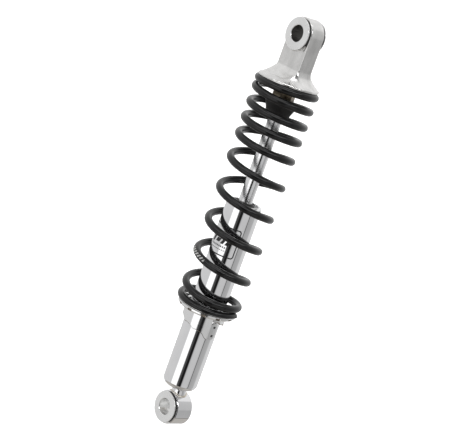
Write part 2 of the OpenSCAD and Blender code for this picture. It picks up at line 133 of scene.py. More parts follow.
# Label and print; a bar is its middle and its half size, and a row its middle height and half height, all in
# millimetres from the label's middle. The print's place is in turns along the wire and in turns round it.
LABEL_ANGLES = (-138.0, -19.0)
LABEL_T = 0.12
LABEL_BARS = (
    ((-7.0, 0.6), (1.6, 4.2)), ((-2.0, -0.6), (2.2, 1.7)),
    ((3.2, -0.4), (1.4, 2.6)), ((7.4, -1.2), (1.6, 1.8))
)
LABEL_ROWS = ((-5.2, 0.7), (-8.0, 0.4))
PRINT_TURN, PRINT_HALF_TURNS = 2.37, 0.07
PRINT_AROUND, PRINT_HALF_AROUND = 0.56, 0.065


# ---------------------------------------------------------------- mesh helpers

def box_mm(node):
    """Lowest and highest corner of a CAD node, in millimetres."""
    low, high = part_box(node)
    return np.array(low) / MM, np.array(high) / MM


def add_object(name, points, faces, sharp=38.0, merge=1e-4, uv=None):
    """A smooth-shaded mesh object from points in millimetres; edges over the sharp angle stay crisp."""
    mesh = bpy.data.meshes.new(name)
    mesh.from_pydata([tuple(np.asarray(p) * MM) for p in points], [], faces)
    if uv is not None:
        layer = mesh.uv_layers.new(name="surface")
        corner = np.zeros(len(mesh.loops), int)
        mesh.loops.foreach_get("vertex_index", corner)
        layer.data.foreach_set("uv", np.asarray(uv, float)[corner].ravel())
    work = bmesh.new()
    work.from_mesh(mesh)
    bmesh.ops.remove_doubles(work, verts=work.verts, dist=merge * MM)
    bmesh.ops.recalc_face_normals(work, faces=work.faces)
    work.to_mesh(mesh)
    work.free()
    mesh.polygons.foreach_set("use_smooth", [True] * len(mesh.polygons))
    mesh.set_sharp_from_angle(angle=math.radians(sharp))
    piece = bpy.data.objects.new(name, mesh)
    bpy.context.scene.collection.objects.link(piece)
    keep_flats_flat(piece)
    return piece


def mid_z(low, high):
    """Middle height of a box."""
    return (low[2] + high[2]) / 2


def keep_flats_flat(piece):
    """Lets the large faces set the normals, so that flats stay flat beside a rounded edge."""
    weighted = piece.modifiers.new("weighted_normals", "WEIGHTED_NORMAL")
    weighted.keep_sharp = True
    weighted.weight = 60


def rounded(corners, steps=5):
    """Outline through corners (radius, height) or (radius, height, rounding)."""
    outline = []
    count = len(corners)
    for i, corner in enumerate(corners):
        here = Vector(corner[:2])
        if len(corner) < 3:
            outline.append(tuple(here))
            continue
        back = (Vector(corners[i - 1][:2]) - here).normalized()
        ahead = (Vector(corners[(i + 1) % count][:2]) - here).normalized()
        angle = back.angle(ahead)
        reach = corner[2] / math.tan(angle / 2)
        centre = here + (back + ahead).normalized() * corner[2] / math.sin(angle / 2)
        start = here + back * reach - centre
        end = here + ahead * reach - centre
        sweep = math.pi - angle
        for k in range(steps + 1):
            t = k / steps
            arm = (math.sin((1 - t) * sweep) * start + math.sin(t * sweep) * end) / math.sin(sweep)
            outline.append(tuple(centre + arm))
    return outline


def strip_faces(rings, count, loop=False):
    """Quads between neighbouring rings of count points; loop also joins the last ring to the first."""
    faces = []
    for i in range(rings if loop else rings - 1):
        here, there = i * count, (i + 1) % rings * count
        for j in range(count):
            k = (j + 1) % count
            faces.append((here + j, here + k, there + k, there + j))
    return faces


def end_caps(rings, count):
    """Faces that close the first and the last ring."""
    return [tuple(range(count)), tuple(range((rings - 1) * count, rings * count))]


def turned_grid(outline, stations, axis, centre):
    """Points and faces of a closed outline turned round an axis; outline may depend on the degrees turned."""
    points = []
    for i in range(stations):
        row = outline(360.0 * i / stations) if callable(outline) else outline
        a = 2 * math.pi * i / stations
        for r, h in row:
            x, y = r * math.cos(a), r * math.sin(a)
            points.append(np.add((x, y, h) if axis == "z" else (x, h, y), centre))
    return points, strip_faces(stations, len(row), loop=True)


def turned(name, outline, axis="z", centre=(0, 0, 0), stations=160, sharp=38.0):
    """A closed outline turned into a solid."""
    points, faces = turned_grid(outline, stations, axis, centre)
    return add_object(name, points, faces, sharp)


def joined(name, parts, sharp=38.0):
    """One object from several (points, faces) shells."""
    points, faces = [], []
    for some_points, some_faces in parts:
        start = len(points)
        points += list(some_points)
        faces += [tuple(start + v for v in face) for face in some_faces]
    return add_object(name, points, faces, sharp)


def place(piece, body, slot, looks, *nodes):
    """Puts a finished piece on its body and in its material, in place of the CAD nodes."""
    piece.data.materials.append(looks)
    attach(piece, body)
    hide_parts(*nodes)


# ---------------------------------------------------------------- material helpers

def add_node(tree, kind, inputs=None, **settings):
    """A shader node with its settings; an input value may be another node's output socket."""
    made = tree.nodes.new(kind)
    for key, value in settings.items():
        setattr(made, key, value)
    for key, value in (inputs or {}).items():
        if isinstance(value, bpy.types.NodeSocket):
            tree.links.new(value, made.inputs[key])
        else:
            made.inputs[key].default_value = value
    return made


def math_node(tree, operation, a, b=0.0, clamp=False):
    """Result of one scalar operation."""
    return add_node(tree, "ShaderNodeMath", {0: a, 1: b}, operation=operation, use_clamp=clamp).outputs[0]


def vector_node(tree, operation, a, b=(0, 0, 0)):
    """Vector result of one vector operation."""
    return add_node(tree, "ShaderNodeVectorMath", {0: a, 1: b}, operation=operation).outputs["Vector"]


def new_material(name, colour, metallic, roughness, **constants):
    """A material with a Principled shader, and its tree, shader and object coordinates in millimetres."""
    made = bpy.data.materials.new(name)
    made.use_nodes = True
    tree = made.node_tree
    shader = tree.nodes["Principled BSDF"]
    shader.inputs["Base Color"].default_value = (*colour, 1)
    shader.inputs["Metallic"].default_value = metallic
    shader.inputs["Roughness"].default_value = roughness
    for key, value in constants.items():
        shader.inputs[key.replace("_", " ")].default_value = value
    where = add_node(tree, "ShaderNodeTexCoord").outputs["Object"]
    scaled = add_node(tree, "ShaderNodeVectorMath", {0: where, "Scale": 1 / MM}, operation="SCALE")
    return made, tree, shader, scaled.outputs["Vector"]


def noise(tree, where, size, detail=3.0, stretch=(1, 1, 1), rough=0.55):
    """Noise from 0 to 1 whose features are about size millimetres, longer along a stretched axis."""
    shape = vector_node(tree, "MULTIPLY", where, tuple(1 / (size * s) for s in stretch))
    inputs = {"Vector": shape, "Scale": 1.0, "Detail": detail, "Roughness": rough}
    return add_node(tree, "ShaderNodeTexNoise", inputs).outputs["Fac"]


def spread(tree, value, low, high, start=0.3, end=0.7):
    """Value from start to end, spread between low and high."""
    inputs = {"Value": value, "From Min": start, "From Max": end, "To Min": low, "To Max": high}
    return add_node(tree, "ShaderNodeMapRange", inputs, clamp=True).outputs["Result"]


def mix(tree, share, a, b):
    """Colour mixed from a to b."""
    made = add_node(tree, "ShaderNodeMix", data_type="RGBA")
    for socket, value in ((made.inputs[0], share), (made.inputs[6], a), (made.inputs[7], b)):
        if isinstance(value, bpy.types.NodeSocket):
            tree.links.new(value, socket)
        else:
            socket.default_value = (*value, 1) if isinstance(value, tuple) else value
    return made.outputs[2]


def blotched(tree, value, dark, light):
    """Colour that runs from dark to light with a noise value."""
    return mix(tree, spread(tree, value, 0.0, 1.0), dark, light)


def set_surface(tree, shader, colour, roughness):
    """Feeds the shader's colour and roughness."""
    tree.links.new(colour, shader.inputs["Base Color"])
    tree.links.new(roughness, shader.inputs["Roughness"])


def bump(tree, shader, height, distance):
    """Relief of the given depth in millimetres."""
    made = add_node(tree, "ShaderNodeBump", {"Height": height, "Distance": distance * MM, "Strength": 1.0})
    tree.links.new(made.outputs["Normal"], shader.inputs["Normal"])


def edge_mask(tree, start, end):
    """1 on convex edges, 0 on flats."""
    where = add_node(tree, "ShaderNodeNewGeometry").outputs["Pointiness"]
    return spread(tree, where, 0.0, 1.0, start, end)


def axis_distance(tree, where, centre_z):
    """Distance from the bolt axis at centre_z, in millimetres."""
    moved = vector_node(tree, "SUBTRACT", where, (0, 0, centre_z))
    flat = vector_node(tree, "MULTIPLY", moved, (1, 0, 1))
    return add_node(tree, "ShaderNodeVectorMath", {0: flat}, operation="LENGTH").outputs["Value"]


# ---------------------------------------------------------------- materials

def cast_aluminium():
    """Polished casting: soft flow marks, a fine satin grain, and smoother edges painted near white as a
    painted highlight.
    """
    made, tree, shader, where = new_material("cast_aluminium", (0.8, 0.79, 0.77), 1.0, 0.3)
    flow = noise(tree, where, 9.0, 4.0, (1, 1, 1.8))
    grain = noise(tree, where, 0.35, 2.0, (1, 1, 7))
    tone = blotched(tree, flow, (0.68, 0.675, 0.665), (0.85, 0.845, 0.835))
    edges = edge_mask(tree, 0.52, 0.6)
    satin = math_node(tree, "ADD", spread(tree, flow, 0.13, 0.26), spread(tree, grain, -0.01, 0.03))
    polished = math_node(tree, "SUBTRACT", satin, math_node(tree, "MULTIPLY", edges, 0.12), True)
    # Painted highlight: convex edges are coloured near white; their lower roughness above is real polish.
    set_surface(tree, shader, mix(tree, edges, tone, (0.98, 0.98, 0.975)), polished)
    hollows = math_node(tree, "MULTIPLY", flow, 2.2)
    scratches = math_node(tree, "MULTIPLY", grain, 0.08)
    bump(tree, shader, math_node(tree, "ADD", hollows, scratches), 0.03)
    return made


def satin_steel(name, centre_z):
    """Turned steel bush: fine tool marks round the bolt axis."""
    made, tree, shader, where = new_material(
        name, (0.93, 0.93, 0.925), 1.0, 0.3, Anisotropic=0.55, Anisotropic_Rotation=0.0
    )
    rings = add_node(tree, "ShaderNodeCombineXYZ", {"X": axis_distance(tree, where, centre_z)})
    inputs = {"Vector": rings.outputs[0], "Scale": 6.0, "Detail": 4.0, "Roughness": 0.7}
    marks = add_node(tree, "ShaderNodeTexNoise", inputs).outputs["Fac"]
    cloud = noise(tree, where, 4.0)
    tone = blotched(tree, marks, (0.88, 0.88, 0.875), (0.97, 0.97, 0.965))
    satin = math_node(tree, "ADD", spread(tree, marks, 0.25, 0.33), spread(tree, cloud, -0.03, 0.04))
    set_surface(tree, shader, tone, satin)
    bump(tree, shader, marks, 0.012)
    tangent = add_node(tree, "ShaderNodeTangent", direction_type="RADIAL", axis="Y")
    tree.links.new(tangent.outputs[0], shader.inputs["Tangent"])
    return made


def dark_bore():
    """Dark metal bore with a faint drag mark along the bolt."""
    made, tree, shader, where = new_material("dark_bore", (0.12, 0.12, 0.11), 0.8, 0.4)
    drag = noise(tree, where, 0.8, 3.0, (1, 8, 1))
    tone = blotched(tree, drag, (0.07, 0.07, 0.065), (0.16, 0.155, 0.145))
    set_surface(tree, shader, tone, spread(tree, drag, 0.32, 0.5))
    bump(tree, shader, drag, 0.01)
    return made


def chrome(name, colour, roughness, haze, grain_stretch, waviness):
    """Plated steel: nearly a mirror, with a faint haze, polishing grain and slight waviness."""
    made, tree, shader, where = new_material(name, colour, 1.0, roughness)
    cloud = noise(tree, where, 14.0, 4.0)
    grain = noise(tree, where, 0.5, 2.0, grain_stretch)
    misted = spread(tree, cloud, roughness, roughness + haze)
    smudge = math_node(tree, "ADD", misted, spread(tree, grain, 0.0, haze / 3))
    darker = tuple(c * 0.94 for c in colour)
    set_surface(tree, shader, blotched(tree, cloud, colour, darker), smudge)
    bump(tree, shader, math_node(tree, "ADD", cloud, math_node(tree, "MULTIPLY", grain, 0.03)), waviness)
    return made


def ground_chrome():
    """Hard chrome of the rod: grinding marks round it smear what it reflects along its length."""
    made, tree, shader, where = new_material(
        "rod_chrome", (0.9, 0.9, 0.91), 1.0, 0.16, Anisotropic=1.0, Anisotropic_Rotation=0.25
    )
    marks = noise(tree, where, 0.35, 3.0, (8, 8, 0.5))
    cloud = noise(tree, where, 9.0)
    tone = blotched(tree, marks, (0.87, 0.87, 0.88), (0.93, 0.93, 0.94))
    worn = math_node(tree, "ADD", spread(tree, cloud, 0.14, 0.17), spread(tree, marks, -0.01, 0.01))
    set_surface(tree, shader, tone, worn)
    bump(tree, shader, cloud, 0.002)
    tangent = add_node(tree, "ShaderNodeTangent", direction_type="RADIAL", axis="Z")
    tree.links.new(tangent.outputs[0], shader.inputs["Tangent"])
    return made


def black_spring_paint():
    """Semi-gloss powder coat with orange peel, and plain pale dashes where the print is."""
    made, tree, shader, where = new_material(
        "black_spring_paint", (0.005, 0.005, 0.0052), 0.0, 0.35,
        Specular_IOR_Level=0.1, Coat_Weight=0.6, Coat_Roughness=0.05
    )
    peel = noise(tree, where, 0.9, 2.0)
    dust = noise(tree, where, 5.0, 4.0)
    tone = blotched(tree, dust, (0.0035, 0.0035, 0.0037), (0.0065, 0.0065, 0.0068))
    surface = add_node(tree, "ShaderNodeUVMap", uv_map="surface").outputs["UV"]
    split = add_node(tree, "ShaderNodeSeparateXYZ", {0: surface})
    dashes = print_dashes(tree, split.outputs["X"], split.outputs["Y"])
    set_surface(tree, shader, mix(tree, dashes, tone, (0.42, 0.42, 0.41)), spread(tree, dust, 0.3, 0.42))
    bump(tree, shader, peel, 0.005)
    return made


def inside(tree, value, centre, half):
    """1 where value lies within half of centre."""
    away = math_node(tree, "ABSOLUTE", math_node(tree, "SUBTRACT", value, centre))
    return math_node(tree, "LESS_THAN", away, half)


def print_dashes(tree, turns, around):
    """A short row of plain dashes on the outer side of the wire; around is 0.5 at the outer side."""
    row = inside(tree, turns, PRINT_TURN, PRINT_HALF_TURNS)
    band = inside(tree, around, PRINT_AROUND, PRINT_HALF_AROUND)
    along, slant = math_node(tree, "MULTIPLY", turns, 48.0), math_node(tree, "MULTIPLY", around, 5.0)
    dash = math_node(tree, "LESS_THAN", math_node(tree, "FRACT", math_node(tree, "ADD", along, slant)), 0.5)
    return math_node(tree, "MULTIPLY", math_node(tree, "MULTIPLY", row, band), dash)


def black_rubber():
    """Moulded rubber: fine pores and a dusty bloom."""
    made, tree, shader, where = new_material("black_rubber", (0.018, 0.018, 0.018), 0.0, 0.55)
    pores = noise(tree, where, 0.4, 3.0)
    bloom = noise(tree, where, 6.0, 4.0)
    tone = blotched(tree, bloom, (0.012, 0.012, 0.012), (0.028, 0.027, 0.026))
    set_surface(tree, shader, tone, spread(tree, bloom, 0.48, 0.66))
    bump(tree, shader, pores, 0.03)
    return made


def plain_metal(name, dark, light, roughness, grain_stretch=(1, 1, 1)):
    """Machined metal with stains and tool grain."""
    made, tree, shader, where = new_material(name, light, 1.0, roughness)
    stain = noise(tree, where, 3.0, 4.0)
    grain = noise(tree, where, 0.3, 2.0, grain_stretch)
    edges = edge_mask(tree, 0.52, 0.62)
    # Convex edges are coloured lighter than the rest of the surface.
    edge_tint = tuple(min(1.0, c * 1.3) for c in light)
    colour = mix(tree, edges, blotched(tree, stain, dark, light), edge_tint)
    stained = spread(tree, stain, roughness, roughness + 0.14)
    worn = math_node(tree, "ADD", stained, spread(tree, grain, -0.03, 0.05))
    set_surface(tree, shader, colour, worn)
    bump(tree, shader, grain, 0.012)
    return made


def bearing_plastic():
    """Filled bearing material: speckled and matt."""
    made, tree, shader, where = new_material("bearing_plastic", (0.3, 0.26, 0.16), 0.0, 0.5)
    speckle = noise(tree, where, 0.25, 3.0)
    tone = blotched(tree, speckle, (0.22, 0.19, 0.11), (0.36, 0.31, 0.2))
    set_surface(tree, shader, tone, spread(tree, speckle, 0.42, 0.58))
    bump(tree, shader, speckle, 0.01)
    return made


def slanted_bar(tree, x, y, centre, half):
    """1 inside a slanted bar of the label, with places in millimetres from the label's middle."""
    slant = 0.45
    lift = math_node(tree, "SUBTRACT", y, centre[1])
    lean = math_node(tree, "SUBTRACT", x, math_node(tree, "MULTIPLY", lift, slant))
    across, up = inside(tree, lean, centre[0], half[0]), inside(tree, y, centre[1], half[1])
    return math_node(tree, "MULTIPLY", across, up)


def label_foil(width, height):
    """Silver foil with a thin rounded border, slanted bars and two rows of plain dashes."""
    made, tree, shader, where = new_material("label_foil", (0.86, 0.86, 0.87), 1.0, 0.08)
    surface = add_node(tree, "ShaderNodeUVMap", uv_map="surface").outputs["UV"]
    centred = vector_node(tree, "SUBTRACT", surface, (0.5, 0.5, 0))
    place_mm = vector_node(tree, "MULTIPLY", centred, (width, height, 0))
    split = add_node(tree, "ShaderNodeSeparateXYZ", {0: place_mm})
    x, y = split.outputs["X"], split.outputs["Y"]

    corner, inset, line = 2.2, 0.5, 0.55
    half = (width / 2 - inset - corner, height / 2 - inset - corner, 0)
    away = vector_node(tree, "SUBTRACT", vector_node(tree, "ABSOLUTE", place_mm), half)
    beyond = vector_node(tree, "MAXIMUM", away)
    length = add_node(tree, "ShaderNodeVectorMath", {0: beyond}, operation="LENGTH").outputs["Value"]
    ink = inside(tree, length, corner, line)

    for centre, half_bar in LABEL_BARS:
        ink = math_node(tree, "MAXIMUM", ink, slanted_bar(tree, x, y, centre, half_bar))
    beat = math_node(tree, "LESS_THAN", math_node(tree, "FRACT", math_node(tree, "MULTIPLY", x, 0.55)), 0.62)
    for row_y, half_row in LABEL_ROWS:
        row = math_node(tree, "MULTIPLY", inside(tree, y, row_y, half_row), inside(tree, x, -1.5, 8.5))
        ink = math_node(tree, "MAXIMUM", ink, math_node(tree, "MULTIPLY", row, beat))

    crinkle = noise(tree, where, 3.5, 4.0)
    foil = blotched(tree, crinkle, (0.82, 0.82, 0.83), (0.9, 0.9, 0.91))
    dull = math_node(tree, "ADD", spread(tree, crinkle, 0.06, 0.13), math_node(tree, "MULTIPLY", ink, 0.3))
    set_surface(tree, shader, mix(tree, ink, foil, (0.012, 0.012, 0.012)), dull)
    bare_foil = math_node(tree, "SUBTRACT", 1.0, math_node(tree, "MULTIPLY", ink, 0.9))
    tree.links.new(bare_foil, shader.inputs["Metallic"])
    bump(tree, shader, crinkle, 0.012)
    return made


def floor_paint():
    """Pale studio floor with a faint mottle."""
    made, tree, shader, where = new_material("pale_floor", (0.9, 0.9, 0.9), 0.0, 0.8)
    mottle = noise(tree, where, 240.0, 3.0)
    tree.links.new(mix(tree, mottle, (0.9, 0.9, 0.9), (0.93, 0.93, 0.93)), shader.inputs["Base Color"])
    shader.inputs["Emission Color"].default_value = (1, 1, 1, 1)
    shader.inputs["Emission Strength"].default_value = 0.5
    shader.inputs["Specular IOR Level"].default_value = 0.0
    return made


# ---------------------------------------------------------------- coil spring

def ramp_sum(t, start, end):
    """Running sum of a smooth step that rises between start and end."""
    if t <= start:
        return 0.0
    if t >= end:
        return (end - start) / 2 + t - end
    x = (t - start) / (end - start)
    return (end - start) * (x**3 - x**4 / 2)


COIL_LOW, COIL_HIGH = box_mm("coil_spring")
COIL_R = min(-COIL_LOW[0], -COIL_LOW[1], COIL_HIGH[0], COIL_HIGH[1]) - WIRE_R
COIL_Z0 = COIL_LOW[2] + WIRE_R - COIL_GROUND
COIL_Z1 = COIL_HIGH[2] - WIRE_R + COIL_TOP_GROUND
OPEN_MID, TIGHT_MID, CLOSE_MID = (sum(ends) / 2 for ends in (OPEN_TURN, TIGHT_TURN, CLOSE_TURN))
WIDE_PITCH = (
    COIL_Z1 - COIL_Z0 - END_PITCH * OPEN_MID - TOP_PITCH * (COIL_TURNS - CLOSE_MID)
    - TIGHT_PITCH * (CLOSE_MID - TIGHT_MID)
) / (TIGHT_MID - OPEN_MID)


def coil_z(t):
    """Height of the wire's centre after t turns."""
    return (
        COIL_Z0
        + END_PITCH * t
        + (WIDE_PITCH - END_PITCH) * ramp_sum(t, *OPEN_TURN)
        - (WIDE_PITCH - TIGHT_PITCH) * ramp_sum(t, *TIGHT_TURN)
        - (TIGHT_PITCH - TOP_PITCH) * ramp_sum(t, *CLOSE_TURN)
    )


def coil_piece(name, start, end, paint):
    """Part of the wire from one turn to another.
    """
    sides, per_turn, chamfer = 28, 80, 0.35
    count = round((end - start) * per_turn)
    stops = [(start + (end - start) * i / count, WIRE_R) for i in range(count + 1)]
    step = chamfer / (2 * math.pi * COIL_R)
    if start == 0:
        stops = [(0.0, WIRE_R - chamfer), (step, WIRE_R)] + stops[1:]
    if end == COIL_TURNS:
        stops = stops[:-1] + [(end - step, WIRE_R), (end, WIRE_R - chamfer)]
    lowest, highest = COIL_LOW[2], COIL_HIGH[2] - COIL_SEAT_GAP
    points, uv = [], []
    for t, radius in stops:
        a = math.radians(COIL_START - 360 * t)
        for j in range(sides):
            b = 2 * math.pi * j / sides - math.pi
            r = COIL_R + radius * math.cos(b)
            z = min(highest, max(lowest, coil_z(t) + radius * math.sin(b)))
            points.append((r * math.cos(a), r * math.sin(a), z))
            uv.append((t, j / sides))
    faces = end_caps(len(stops), sides) + strip_faces(len(stops), sides)
    wire = add_object(name, points, faces, sharp=50.0, merge=0.0, uv=uv)
    wire.data.materials.append(paint)
    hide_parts("coil_spring")
    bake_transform(wire)


# ---------------------------------------------------------------- eyes and bushes

def baked(source, name, *changes):
    """A new object from a CAD mesh after the given modifiers."""
    copy = bpy.data.objects.new(name, source.data.copy())
    bpy.context.scene.collection.objects.link(copy)
    for kind, settings in changes:
        step = copy.modifiers.new(kind.lower(), kind)
        for key, value in settings.items():
            setattr(step, key, value)
    shape = bpy.data.meshes.new_from_object(copy.evaluated_get(bpy.context.evaluated_depsgraph_get()))
    copy.modifiers.clear()
    copy.data = shape
    copy.data.materials.clear()
    return copy


def top_eye(looks):
    """The casting: the CAD solid with the soft, rounded edges of a polished casting."""
    voxel = 0.42
    casting = baked(
        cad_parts["top_eye"],
        "top_eye_casting",
        ("REMESH", {"mode": "VOXEL", "voxel_size": voxel * MM, "adaptivity": 0.0}),
        ("SMOOTH", {"factor": 0.5, "iterations": 7}),
    )
    casting.data.polygons.foreach_set("use_smooth", [True] * len(casting.data.polygons))
    place(casting, "top_mount", "cast_aluminium", looks, "top_eye")


def bush_sleeve(node, body, steel, bore):
    """Steel sleeve with its front flange, turned round the bolt axis."""
    low, high = box_mm(node)
    front, back, flange_r = low[1], high[1], high[0]
    outline = rounded([
        (BOLT_R, front + BORE_CHAMFER), (BOLT_R + BORE_CHAMFER, front), (flange_r, front, 0.3),
        (flange_r, front + FLANGE_T, 0.2), (SLEEVE_R, front + FLANGE_T, 0.2), (SLEEVE_R, back, 0.35),
        (BOLT_R + BORE_CHAMFER, back), (BOLT_R, back - BORE_CHAMFER)
    ])
    sleeve = turned(node + "_turned", outline, "y", (0, 0, mid_z(low, high)))
    place(sleeve, body, "satin_steel", steel, node)
    sleeve.data.materials.append(bore)
    centre_z = mid_z(low, high) * MM
    for face in sleeve.data.polygons:
        if math.hypot(face.center.x, face.center.z - centre_z) < (BOLT_R + 0.1) * MM:
            face.material_index = 1


def upper_collar(steel):
    """Loose collar on the back end of the upper sleeve."""
    low, high = box_mm("upper_bush_collar")
    outline = rounded([
        (SLEEVE_R, low[1], 0.2), (high[0], low[1], 0.2), (high[0], high[1], 0.3), (SLEEVE_R, high[1], 0.3)
    ])
    collar = turned("upper_collar_turned", outline, "y", (0, 0, mid_z(low, high)))
    place(collar, "upper_sleeve", "satin_steel", steel, "upper_bush_collar")


def bush_rubber(node, body, rubber, front, back):
    """Bonded rubber ring whose lips bulge slightly where they stand out of the eye at front and back."""
    low, high = box_mm(node)
    lip_r, inner = high[0], SLEEVE_R + BUSH_GAP
    waist_r = lip_r - LIP_BULGE
    corners = [
        (inner, low[1]), (waist_r, low[1], 0.12), (lip_r, (low[1] + front) / 2, 0.3), (waist_r, front),
        (EYE_BORE_R, front), (EYE_BORE_R, back)
    ]
    if high[1] - back > 0.1:
        corners += [(waist_r, back), (lip_r, (high[1] + back) / 2, 0.3), (waist_r, high[1], 0.12)]
    else:
        corners += [(EYE_BORE_R - 0.9, back - 0.6, 0.3)]
    corners += [(inner, corners[-1][1])]
    ring = turned(node + "_moulded", rounded(corners), "y", (0, 0, mid_z(low, high)))
    place(ring, body, "black_rubber", rubber, node)


def lower_eye(looks, bead_looks):
    """Chromed barrel, its waisted neck and the rippled weld where they meet."""
    low, high = box_mm("lower_eye")
    front, back, barrel_r, neck_top = low[1], high[1], high[0], high[2]
    mouth = 0.5
    barrel = turned_grid(rounded([
        (EYE_BORE_R, front + mouth), (EYE_BORE_R + mouth, front), (barrel_r - 0.6, front, 0.15),
        (barrel_r, front + 0.6, 0.3), (barrel_r, back - 0.8, 0.5), (barrel_r - 0.7, back, 0.25),
        (EYE_BORE_R + mouth, back), (EYE_BORE_R, back - mouth)
    ]), 200, "y", (0, 0, 0))
    waist_z = (barrel_r + neck_top) / 2
    neck = turned_grid(rounded([
        (0, NECK_BOTTOM_Z), (NECK_R + 0.3, NECK_BOTTOM_Z), (NECK_R - 0.5, waist_z, 3.5),
        (NECK_R + 0.5, neck_top, 0.3), (0, neck_top)
    ]), 96, "z", (0, NECK_Y, 0))
    eye = joined("lower_eye_turned", [barrel, neck])
    place(eye, "damper_body", "tube_chrome", looks, "lower_eye")

    lower_bead = weld_bead(NECK_R + 0.25, barrel_r, 0.95, None)
    upper_bead = weld_bead(NECK_R + 0.1, barrel_r, 0.7, neck_top - 0.35)
    bead = joined("neck_weld_beads", [lower_bead, upper_bead], sharp=60.0)
    place(bead, "damper_body", "plain_steel", bead_looks)


def weld_bead(radius, barrel_r, bead_r, flat_z):
    """A rippled bead round the neck, on the barrel's saddle or at a flat height."""
    stations, sides, ripples = 240, 14, 34
    points = []
    for i in range(stations):
        a = 2 * math.pi * i / stations
        z = flat_z if flat_z is not None else math.sqrt(barrel_r**2 - (radius * math.cos(a)) ** 2)
        swell = bead_r * (1 + 0.05 * math.cos(ripples * a) + 0.06 * math.sin(5 * a + 1.0))
        for j in range(sides):
            b = 2 * math.pi * j / sides
            r = radius + swell * math.cos(b)
            lift = min(swell * 0.75 * math.sin(b), math.inf if flat_z is None else 0.3)
            points.append((r * math.cos(a), NECK_Y + r * math.sin(a), z + lift))
    return points, strip_faces(stations, sides, loop=True)


# ---------------------------------------------------------------- damper

def outer_tube(looks):
    """Chromed tube with a round bottom and a rolled top edge."""
    low, high = box_mm("outer_tube")
    r, bottom, top = high[0], low[2], high[2]
    inside_r = r - TUBE_WALL
    lip_r = inside_r - TUBE_LIP
    washer_top = box_mm("seal_washer")[1][2]
    outline = rounded([
        (0, bottom), (r, bottom, TUBE_BOTTOM_ROUND), (r, top, 1.5), (lip_r, top, 0.5),
        (lip_r, washer_top), (inside_r, washer_top),
        (inside_r, bottom + TUBE_WALL, TUBE_BOTTOM_ROUND - TUBE_WALL), (0, bottom + TUBE_WALL)
    ], steps=10)
    tube = turned("outer_tube_drawn", outline, stations=256)
    place(tube, "damper_body", "tube_chrome", looks, "outer_tube")


def seal_parts(steel, rubber):
    """Washer and wiper lip in the mouth of the tube."""
    low, high = box_mm("seal_washer")
    inner = box_mm("dust_wiper")[1][0]
    washer = turned("seal_washer_turned", rounded([
        (inner, low[2]), (high[0], low[2]), (high[0], high[2]), (inner + 2.2, high[2], 0.3),
        (inner + 1.6, high[2] - 0.7, 0.3), (inner, high[2] - 0.7, 0.3)
    ]))
    place(washer, "damper_body", "plain_steel", steel, "seal_washer")

    low, high = box_mm("dust_wiper")
    lip = ROD_R + 0.1
    wiper = turned("dust_wiper_moulded", rounded([
        (lip, low[2]), (high[0], low[2]), (high[0], high[2] - 2.0, 0.5), (lip + 1.1, high[2] - 0.9, 0.5),
        (lip, high[2], 0.15)
    ]))
    place(wiper, "damper_body", "black_rubber", rubber, "dust_wiper")


def piston_rod(looks):
    """Ground rod with a spigot for the piston."""
    low, high = box_mm("piston_rod")
    rod = turned("piston_rod_ground", rounded([
        (0, low[2]), (SPIGOT_R, low[2], 0.6), (SPIGOT_R, SPIGOT_TOP_Z), (ROD_R, SPIGOT_TOP_Z, 0.4),
        (ROD_R, high[2], 0.8), (0, high[2])
    ]), stations=128)
    place(rod, "top_mount", "rod_chrome", looks, "piston_rod")


def bump_stop(looks):
    """Tapered rubber bump stop with a soft waist."""
    low, high = box_mm("bump_stop")
    top_r, bottom_r = high[0], 9.8
    stop = turned("bump_stop_moulded", rounded([
        (ROD_R, low[2]), (bottom_r, low[2], 0.9), (bottom_r + 1.0, low[2] + 3.6, 2.5),
        (top_r, low[2] + 10.2, 3.0), (top_r, high[2], 0.9), (ROD_R, high[2])
    ], steps=8))
    place(stop, "top_mount", "black_rubber", looks, "bump_stop")


def lock_nut(looks):
    """Hexagonal nut whose corners are turned off at both ends."""
    low, high = box_mm("lock_nut")
    flats = high[0] * math.cos(math.radians(30))
    chamfer = [0, 0.15, 0.3, 0.45, 0.6, 0.8, 1.0, 1.25]
    heights = [low[2] + c for c in chamfer] + [high[2] - c for c in reversed(chamfer)]

    def outline(degrees):
        corner = flats / math.cos(math.radians(degrees % 60 - 30))
        outer = []
        for z in heights:
            turned_off = flats - 0.35 + 1.5 * min(z - low[2], high[2] - z)
            outer.append((min(corner, turned_off), z))
        return [(ROD_R, low[2])] + outer + [(ROD_R, high[2])]

    nut = turned("lock_nut_cut", outline, stations=240, sharp=28.0)
    place(nut, "top_mount", "yellow_zinc", looks, "lock_nut")


